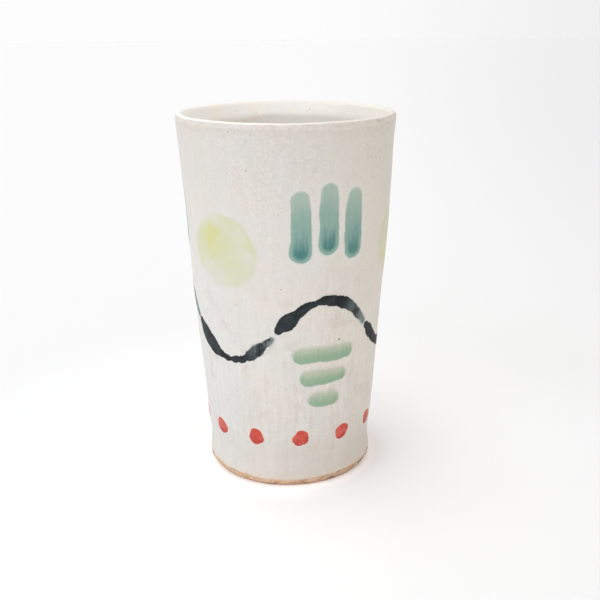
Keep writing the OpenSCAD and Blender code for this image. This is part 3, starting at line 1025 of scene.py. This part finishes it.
def stained(net, colour, rough, relief):
    """The same glaze with every stain mark drawn in it."""
    yellow, green, teal = net.parts("soft_marks")
    red, dark, pool = net.parts("hard_marks")
    stroke = net.attribute("stroke").outputs["Fac"]
    feather = centred(net, net.noise(2.6, 3.0, 0.55, shift=41), 1.5)
    fray = net.add(centred(net, net.noise(0.75, 2.0, 0.6, shift=43), 0.75), centred(net, net.noise(2.4, 1.0, shift=47), 0.75))
    run = net.noise(1.1, 2.0, 0.5, squash=(1, 1, 0.10), shift=53)
    cloud = net.noise(6.0, 2.0, 0.5, shift=59)
    wide = net.noise(13.0, 1.5, 0.5, shift=63)

    # Pale yellow wash, almost gone in places, deeper where it lies thick.
    d = net.add(yellow, feather)
    wash = net.fit(d, 0.70, -0.75)
    swept = net.noise(8.0, 1.5, 0.5, squash=(0.55, 0.55, 1.0), shift=65, twist=0.6)
    deep = net.fit(net.add(swept, centred(net, run, 0.10)), 0.46, 0.74, 0.0, 0.45)
    for k in range(3):
        a = FIRST_CREST + math.radians(60 + 120 * k) + (0.13, 0.10, -0.12)[k]
        height = DISC_Z + (3.5, 1.0, 4.0)[k]
        r = wall_r(height)
        far = net.vector("DISTANCE", net.mm, (r * math.sin(a), -r * math.cos(a), height))
        blot = net.fit(net.add(far, net.mul(net.add(net.add(swept, cloud), -1.0), 11.0)), 9.5, 1.5)
        deep = net.math("MAXIMUM", deep, blot)
    tint = net.mix(deep, YELLOW, YELLOW_DEEP)
    thick = net.fit(net.add(wide, net.add(centred(net, cloud, 0.5), net.mul(deep, 0.25))), 0.34, 0.60, 0.50, 0.97)
    colour = net.mix(net.mul(wash, thick), colour, tint)

    # Green runs downwards: it fades out at the top and pools at the foot.
    sink = net.add(pool, net.add(centred(net, run, 1.1), centred(net, cloud, 0.9)))
    soft_top = net.fit(pool, -1.0, 0.7, 1.45, 0.55)
    d = net.add(green, net.mul(feather, 0.8))
    wash = net.fit(net.math("DIVIDE", d, soft_top), 0.8, -0.9)
    tint = net.mix(net.fit(sink, -1.2, 0.8), GREEN_PALE, GREEN)
    colour = net.mix(net.mul(wash, net.fit(sink, -1.5, 0.4, 0.66, 0.97)), colour, tint)

    # Teal is glassier: a clear edge all round, thin and pale at the top, a dark pool low down.
    sink = net.add(pool, net.add(centred(net, run, 0.8), centred(net, cloud, 0.8)))
    d = net.add(teal, net.mul(feather, 0.55))
    halo = net.mul(net.fit(d, 0.2, 0.7), net.fit(d, 2.2, 1.1))
    colour = net.mix(net.mul(halo, 0.30), colour, (0.655, 0.660, 0.650))
    wash = net.fit(net.math("DIVIDE", d, net.fit(pool, -1.0, 0.2, 1.1, 0.75)), 0.42, -0.50)
    tint = net.mix(net.fit(sink, -1.1, 0.45), TEAL_PALE, TEAL)
    thick = net.mul(net.fit(sink, 0.05, 0.95), net.fit(net.add(teal, centred(net, cloud, 0.8)), -0.7, -2.3))
    tint = net.mix(thick, tint, TEAL_DEEP)
    rim = net.mul(net.fit(teal, -1.3, -0.4), net.fit(sink, -0.2, 0.8))
    tint = net.mix(net.mul(rim, 0.45), tint, (0.225, 0.415, 0.335))
    colour = net.mix(net.mul(wash, net.fit(sink, -1.6, 0.1, 0.84, 0.99)), colour, tint)
    glossy = net.mul(wash, net.fit(sink, -0.5, 1.0))
    rough = net.add(rough, net.mul(glossy, -0.10))

    # Orange-red dots, crisp, with a faint blush round them.
    d = net.add(red, net.mul(fray, 0.62))
    colour = net.mix(net.mul(net.fit(d, 1.2, 0.0), 0.28), colour, (0.71, 0.53, 0.48))
    solid = net.fit(d, 0.16, -0.16)
    tint = net.mix(net.fit(cloud, 0.40, 0.66), RED, RED_PALE)
    settled = net.fit(net.add(net.mul(pool, 0.30), net.noise(2.0, 2.0, 0.55, shift=69)), 0.50, 0.78)
    tint = net.mix(net.mul(settled, 0.80), tint, RED_DEEP)
    tint = net.brighten(tint, centred(net, net.noise(0.5, 2.0, shift=61), 0.35))
    colour = net.mix(solid, colour, tint)

    # Blue-black brush line: ragged edge, grainy body, watery towards the end of a stroke.
    d = net.add(dark, fray)
    thin = net.mul(net.fit(stroke, 0.66, 0.97), net.fit(net.add(cloud, centred(net, run, 0.3)), 0.36, 0.60))
    soft = net.fit(thin, 0.0, 1.0, 0.17, 0.75)
    solid = net.fit(net.math("DIVIDE", d, soft), 1.0, -1.0)
    colour = net.mix(net.mul(net.fit(d, 1.3, 0.1), 0.10), colour, (0.46, 0.52, 0.52))
    body = net.fit(net.add(cloud, centred(net, wide, 0.8)), 0.36, 0.60)
    speck = net.fit(net.noise(0.42, 2.0, 0.75, shift=67), 0.48, 0.72)
    tint = net.mix(body, INK, INK_BODY)
    tint = net.mix(net.mul(speck, net.fit(body, 0.0, 1.0, 0.12, 0.95)), tint, INK_GRAIN)
    tint = net.mix(net.mul(thin, 0.85), tint, INK_THIN)
    colour = net.mix(net.mul(solid, net.fit(thin, 0.0, 1.0, 1.0, 0.86)), colour, tint)
    rough = net.add(rough, net.mul(solid, 0.14))
    relief = net.add(relief, net.mul(net.mul(solid, centred(net, speck, 1.0)), 0.014))
    return colour, rough, relief


def finish_glaze(net, colour, rough, relief, specular, bump=1.0):
    net.tree.links.new(colour, net.bsdf.inputs["Base Color"])
    net.tree.links.new(rough, net.bsdf.inputs["Roughness"])
    net.bsdf.inputs["Specular IOR Level"].default_value = specular
    net.bump(relief, bump)
    return net.mat


def outside_material(name, specular=0.5):
    net = Net(name)
    colour, rough, relief = white_glaze(net)
    # The coat thins to a warm stain at its lower edge, and it is dulled just under the liner's lap.
    foot = net.attribute("foot_gap").outputs["Fac"]
    lap = net.attribute("lap_gap").outputs["Fac"]
    uneven = net.add(centred(net, net.noise(1.4, 3.0, 0.6, shift=71), 1.3), centred(net, net.noise(6.0, 1.0, shift=73), 1.2))
    colour = net.mix(net.mul(net.fit(net.add(foot, uneven), 4.6, 0.2), 0.29), colour, (0.600, 0.495, 0.395))
    colour = net.mix(net.mul(net.fit(net.add(foot, uneven), 1.25, -0.2), 0.85), colour, TAN_PALE)
    colour = net.mix(net.mul(net.fit(net.add(lap, uneven), 4.4, 0.2), 0.24), colour, (0.59, 0.50, 0.44))
    colour, rough, relief = stained(net, colour, rough, relief)
    return finish_glaze(net, colour, rough, relief, specular)


def mark_material(name, specular):
    net = Net(name)
    colour, rough, relief = stained(net, *white_glaze(net))
    return finish_glaze(net, colour, rough, relief, specular)


def liner_material():
    net = Net("liner_glaze")
    lip = net.attribute("lip").outputs["Fac"]
    outside = net.attribute("outside").outputs["Fac"]
    edge = net.attribute("lap_edge").outputs["Fac"]
    wall, wall_rough, wall_relief = white_glaze(net)
    big, mid, grain = net.noise(14, 2.0, shift=5), net.noise(4.2, 3.0, shift=9), net.noise(0.8, 3.0, 0.6, shift=15)
    # Painted shade: the inside wall below the bevel is painted greyer and darker than the cream band at the top, for
    # the shade down in the cup. The cream band is also where the liner lies thicker, and its cream is whiter on the
    # left.
    colour = net.mix(net.fit(big, 0.38, 0.62), (0.740, 0.705, 0.652), (0.730, 0.708, 0.664))
    thick = net.fit(net.add(lip, centred(net, mid, 0.30)), 0.02, 0.98)
    across = net.fit(net.x, -36.0, 30.0, 0.08, -0.07, smooth=False)
    cream = net.mix(net.fit(net.add(net.noise(9.0, 2.0, shift=21), across), 0.45, 0.62), CREAM, (0.895, 0.885, 0.855))
    colour = net.mix(thick, colour, cream)
    colour = net.brighten(colour, net.add(centred(net, mid, 0.07), centred(net, grain, 0.05)))
    # Painted light and shade: the inside is painted lighter on the left, and darker and warmer on the right. The coat
    # is thinner and warmer along the top of the lip.
    colour = net.brighten(colour, net.fit(net.x, -36.0, 30.0, 0.125, -0.062, smooth=False))
    colour = net.mix(net.fit(net.x, 6.0, 32.0, 0.0, 0.36), colour, (0.795, 0.725, 0.635))
    crown = net.fit(net.add(net.z, centred(net, mid, 0.4)), 143.7, 144.4)
    colour = net.mix(net.mul(crown, net.fit(net.x, -36.0, 30.0, 0.50, 0.88)), colour, (0.785, 0.735, 0.670))
    gap, chance, tone = net.cells(2.4, 14)
    dot = net.mul(net.fit(gap, 0.06, 0.14, 1.0, 0.0), net.math("GREATER_THAN", chance, 0.74))
    colour = net.mix(net.mul(dot, net.fit(tone, 0.0, 1.0, 0.15, 0.50)), colour, (0.36, 0.27, 0.19))
    wobble = centred(net, net.noise(0.5, 2.0, shift=37), 0.3)
    for degrees, height, radius in ((165, 141.5, 0.26), (191, 142, 0.30), (212, 141.6, 0.34), (199, 140.2, 0.22), (150, 142, 0.2), (120, 118, 0.3)):
        a = math.radians(degrees)
        r = inside_r(height)
        far = net.add(net.vector("DISTANCE", net.mm, (r * math.sin(a), -r * math.cos(a), height)), wobble)
        colour = net.mix(net.mul(net.fit(far, radius * 0.7, radius * 1.9, 1.0, 0.0), 0.45), colour, (0.40, 0.29, 0.20))
    # Thin, toasted spots where the glaze breaks over the lip, then the colour of the wall outside.
    turning = net.fit(net.add(outside, centred(net, mid, 0.5)), 0.25, 0.75)
    colour = net.mix(turning, colour, wall)
    colour = net.mix(net.mul(turning, 0.12), colour, (0.54, 0.44, 0.35))
    worn = net.fit(net.noise(16.0, 1.0, shift=87), 0.38, 0.56, 0.25, 1.0)
    breaks = net.mul(net.fit(net.noise(1.9, 4.0, 0.68, squash=(0.7, 0.7, 1.0), shift=83), 0.50, 0.66), net.mul(net.fit(outside, 0.2, 0.7), worn))
    colour = net.mix(net.mul(breaks, 0.62), colour, (0.46, 0.365, 0.295))
    uneven = centred(net, net.noise(1.2, 3.0, 0.6, shift=81), 0.9)
    band = net.mul(net.fit(net.add(edge, uneven), 1.8, 0.9), net.fit(net.add(edge, uneven), -0.2, 0.3))
    colour = net.mix(net.mul(band, 0.22), colour, (0.80, 0.755, 0.700))
    rough = net.add(net.fit(mid, 0.3, 0.7, 0.34, 0.42), net.mul(turning, 0.05))
    relief = net.add(centred(net, grain, 0.014), centred(net, mid, 0.02))
    net.tree.links.new(colour, net.bsdf.inputs["Base Color"])
    net.tree.links.new(rough, net.bsdf.inputs["Roughness"])
    net.bsdf.inputs["Specular IOR Level"].default_value = 0.5
    net.bump(relief)
    return net.mat


def clay_material():
    net = Net("bare_clay")
    gap = net.attribute("line_gap").outputs["Fac"]
    low = net.attribute("low").outputs["Fac"]
    under = net.attribute("under").outputs["Fac"]
    grain = net.noise(0.35, 4.0, 0.7, shift=91)
    cloud, band = net.noise(3.0, 3.0, 0.6, shift=93), net.noise(0.5, 2.0, 0.5, squash=(0.08, 0.08, 1.6), shift=95)
    wide = net.noise(12.0, 2.0, 0.5, shift=97)
    colour = net.mix(net.fit(cloud, 0.35, 0.65), TAN, TAN_PALE)
    colour = net.mix(net.fit(wide, 0.45, 0.65, 0.0, 0.7), colour, (0.600, 0.440, 0.310))
    near_glaze = net.fit(net.add(net.mul(gap, -1.0), centred(net, cloud, 1.0)), 1.0, -0.2)
    colour = net.mix(net.mul(near_glaze, 0.45), colour, (0.590, 0.370, 0.225))
    # Painted shade: the clay is painted deep tan towards its bottom edge, where the foot meets the floor.
    edge = net.fit(net.add(low, centred(net, cloud, 0.45)), 0.35, 0.85)
    colour = net.mix(net.mul(edge, 0.85), colour, TAN_DEEP)
    # Dark scrapes that follow the turning, in a few stretches of the foot.
    scrape = net.mul(net.fit(net.noise(0.85, 3.0, 0.6, squash=(0.22, 0.22, 1.0), shift=101), 0.53, 0.62), net.fit(net.add(net.noise(9.0, 1.0, shift=103), net.fit(net.x, 4.0, 26.0, 0.0, 0.06)), 0.50, 0.62))
    flat = net.math("MAXIMUM", under, net.fit(low, 0.985, 0.999))
    colour = net.mix(net.mul(scrape, net.fit(flat, 0.0, 1.0, 0.80, 0.18)), colour, (0.110, 0.062, 0.038))
    colour = net.mix(net.mul(under, 0.55), colour, (0.540, 0.410, 0.300))
    shade = net.add(centred(net, grain, 0.34), centred(net, band, 0.16))
    # Painted shade: the right side of the foot, away from the light, is painted up to 16% darker.
    shade = net.add(shade, net.fit(net.x, 2.0, 28.0, 0.0, -0.16))
    colour = net.brighten(colour, shade)
    dot_gap, chance, tone = net.cells(0.9, 6)
    dot = net.mul(net.fit(dot_gap, 0.12, 0.28, 1.0, 0.0), net.math("GREATER_THAN", chance, 0.62))
    colour = net.mix(net.mul(dot, net.fit(tone, 0, 1, 0.15, 0.7)), colour, (0.18, 0.11, 0.07))
    relief = net.add(centred(net, grain, 0.05), centred(net, band, 0.03))
    relief = net.add(relief, net.mul(dot, -0.03))
    net.tree.links.new(colour, net.bsdf.inputs["Base Color"])
    net.tree.links.new(net.fit(grain, 0.3, 0.7, 0.78, 0.92), net.bsdf.inputs["Roughness"])
    net.bsdf.inputs["Specular IOR Level"].default_value = 0.3
    net.bump(relief)
    return net.mat


def floor_material():
    net = Net("paper_floor")
    soft = net.noise(60.0, 2.0, shift=3)
    colour = net.brighten((0.93, 0.93, 0.935), centred(net, soft, 0.01))
    # Painted light falloff: the floor is painted darker to the right, as the backdrop behind it is.
    flat = net.vector("MULTIPLY", net.mm, (0.001, 0.001, 0.0))
    reach = net.vector("LENGTH", net.vector("ADD", flat, (0.0, 0.0, 1.0)), (0.0, 0.0, 0.0))
    split = net.tree.nodes.new("ShaderNodeSeparateXYZ")
    net.tree.links.new(flat, split.inputs[0])
    colour = net.brighten(colour, net.fit(net.math("DIVIDE", split.outputs[0], reach), 0.0, 0.36, 0.0, -0.12))
    # Painted light: the floor is painted brightest close round the cup and darker further out.
    away = net.vector("LENGTH", flat, (0.0, 0.0, 0.0))
    colour = net.brighten(colour, net.fit(away, 0.07, 0.19, 0.0, -0.085))
    net.tree.links.new(colour, net.bsdf.inputs["Base Color"])
    # Painted light: the floor glows a little close to the foot, where the cup's own shade would fall, and so lifts that
    # shade.
    net.bsdf.inputs["Emission Color"].default_value = (1.0, 1.0, 1.0, 1.0)
    glow = net.mul(net.fit(away, 0.0325, 0.047, 0.24, 0.0), net.fit(split.outputs[0], -0.010, 0.036, 1.0, 0.0))
    glow = net.add(glow, net.mul(net.fit(away, 0.0325, 0.0385, 0.15, 0.0), net.fit(split.outputs[0], -0.014, 0.010)))
    net.tree.links.new(glow, net.bsdf.inputs["Emission Strength"])
    net.bsdf.inputs["Roughness"].default_value = 0.9
    net.bsdf.inputs["Specular IOR Level"].default_value = 0.2
    return net.mat


# ---------------------------------------------------------------------------------------------
# Put the pieces together
# ---------------------------------------------------------------------------------------------


def place(ob, material, node, slot):
    ob.data.materials.clear()
    ob.data.materials.append(material)
    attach(ob, "root")
    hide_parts(node)
    return ob


place(make_clay(), clay_material(), "clay_body", "clay")
place(make_outside_glaze(), outside_material("outside_glaze"), "outer_glaze", "outer_glaze")
place(make_liner_glaze(), liner_material(), "liner_glaze", "liner_glaze")
place(make_wave_pad(), mark_material("dark_stain", 0.25), "dark_strokes", "dark_stain")

third = [FIRST_CREST + math.radians(120 * k) for k in range(3)]
place(
    make_pads(
        "stain_discs",
        [(t + math.radians(60), DISC_Z) for t in third],
        lambda k, phi: np.full(np.shape(phi), DISC_R),
        2.6,
        yellow_lift,
        (2, 2),
    ),
    mark_material("yellow_stain", 0.5),
    "yellow_discs",
    "yellow_stain",
)
dash_places, dash_halves = [], []
for t in third:
    for j in range(3):
        dash_places.append((t, DASH_Z - DASH_STEP * j))
        dash_halves.append(DASH_W * (1 - 0.24 * j) / 2)
place(
    make_pads(
        "stain_dashes",
        dash_places,
        lambda k, phi: bar_outline(dash_halves[k], DASH_H / 2)(k, phi),
        2.2,
        green_lift,
        (3, 3),
    ),
    mark_material("green_stain", 0.5),
    "green_dashes",
    "green_stain",
)
place(
    make_pads(
        "stain_bars",
        [(t + BAR_GAP * j, BAR_Z + 2.5 * (1 - abs(j))) for t in third for j in (-1, 0, 1)],
        lambda k, phi: bar_outline(BAR_H / 2, BAR_W / 2)(k, phi + math.pi / 2),
        2.2,
        teal_lift,
        (3, 3),
    ),
    mark_material("teal_stain", 0.5),
    "teal_bars",
    "teal_stain",
)
place(
    make_pads(
        "stain_dots",
        [(FIRST_CREST + 2 * math.pi * (k + 0.5) / DOT_COUNT, DOT_Z) for k in range(DOT_COUNT)],
        lambda k, phi: np.full(np.shape(phi), DOT_R),
        1.1,
        red_lift,
        (4, 3),
    ),
    mark_material("red_stain", 0.35),
    "red_dots",
    "red_stain",
)

# ---------------------------------------------------------------------------------------------
# Pale floor and soft studio light
# ---------------------------------------------------------------------------------------------


def make_floor():
    rings, cols = 24, 96
    radii = np.linspace(0.0, 1.0, rings) ** 1.6 * 6.0
    verts, faces = [(0.0, 0.0, 0.0)], []
    for r in radii[1:]:
        verts += [(r * math.cos(t), r * math.sin(t), 0.0) for t in 2 * np.pi * np.arange(cols) / cols]
    for i in range(cols):
        faces.append((0, 1 + i, 1 + (i + 1) % cols))
    for j in range(rings - 2):
        for i in range(cols):
            k = (i + 1) % cols
            faces.append((1 + j * cols + i, 1 + (j + 1) * cols + i, 1 + (j + 1) * cols + k, 1 + j * cols + k))
    mesh = bpy.data.meshes.new("floor")
    mesh.from_pydata(verts, [], faces)
    mesh.materials.append(floor_material())
    ob = bpy.data.objects.new("floor", mesh)
    bpy.context.scene.collection.objects.link(ob)


def make_light():
    scene = bpy.context.scene
    world = bpy.data.worlds.new("studio")
    scene.world = world
    world.use_nodes = True
    tree = world.node_tree
    tree.nodes.clear()
    out = tree.nodes.new("ShaderNodeOutputWorld")
    room = tree.nodes.new("ShaderNodeBackground")
    room.inputs["Color"].default_value = (1.0, 0.955, 0.938, 1.0)
    room.inputs["Strength"].default_value = 0.815
    seen = tree.nodes.new("ShaderNodeBackground")
    seen.inputs["Strength"].default_value = 1.0
    # Painted light falloff: the backdrop the camera sees is painted darker to the right, by the same rule as the sweep
    # on the floor.
    way = tree.nodes.new("ShaderNodeTexCoord")
    level = tree.nodes.new("ShaderNodeVectorMath")
    level.operation = "MULTIPLY"
    level.inputs[1].default_value = (1.0, 1.0, 0.0)
    unit = tree.nodes.new("ShaderNodeVectorMath")
    unit.operation = "NORMALIZE"
    split = tree.nodes.new("ShaderNodeSeparateXYZ")
    fall = tree.nodes.new("ShaderNodeMapRange")
    fall.interpolation_type = "SMOOTHSTEP"
    for socket, value in zip(fall.inputs[1:5], (0.0, 0.36, 0.982, 0.864)):
        socket.default_value = value
    tree.links.new(way.outputs["Generated"], level.inputs[0])
    tree.links.new(level.outputs[0], unit.inputs[0])
    tree.links.new(unit.outputs[0], split.inputs[0])
    tree.links.new(split.outputs[0], fall.inputs[0])
    tree.links.new(fall.outputs[0], seen.inputs["Color"])
    path = tree.nodes.new("ShaderNodeLightPath")
    mix = tree.nodes.new("ShaderNodeMixShader")
    tree.links.new(path.outputs["Is Camera Ray"], mix.inputs[0])
    tree.links.new(room.outputs[0], mix.inputs[1])
    tree.links.new(seen.outputs[0], mix.inputs[2])
    tree.links.new(mix.outputs[0], out.inputs["Surface"])

    # Name, azimuth, elevation and angle in degrees, strength, colour.
    lamps = (
        ("window_high", -56, 65, 60, 0.60, (0.95, 1.0, 0.98)),
        ("window_low", -45, 16, 55, 0.74, (0.70, 0.85, 1.0)),
        ("window_front", 0, 14, 50, 0.23, (0.92, 1.0, 1.0)),
        ("window_back", -135, 45, 60, 0.50, (0.80, 0.96, 1.0)),
        ("warm_wall", 60, 25, 60, 0.09, (1.0, 0.74, 0.60)),
    )
    for name, azimuth, elevation, angle, strength, colour in lamps:
        data = bpy.data.lights.new(name, "SUN")
        data.energy = strength
        data.angle = math.radians(angle)
        data.color = colour
        lamp = bpy.data.objects.new(name, data)
        a, e = math.radians(azimuth), math.radians(elevation)
        lamp.rotation_mode = "QUATERNION"
        way_in = Vector((math.sin(a) * math.cos(e), -math.cos(a) * math.cos(e), math.sin(e)))
        lamp.rotation_quaternion = way_in.to_track_quat("Z", "Y")
        scene.collection.objects.link(lamp)

    scene.view_settings.view_transform = "Standard"
    scene.view_settings.look = "None"
    scene.view_settings.exposure = 0.0
    scene.view_settings.gamma = 1.0


make_floor()
make_light()
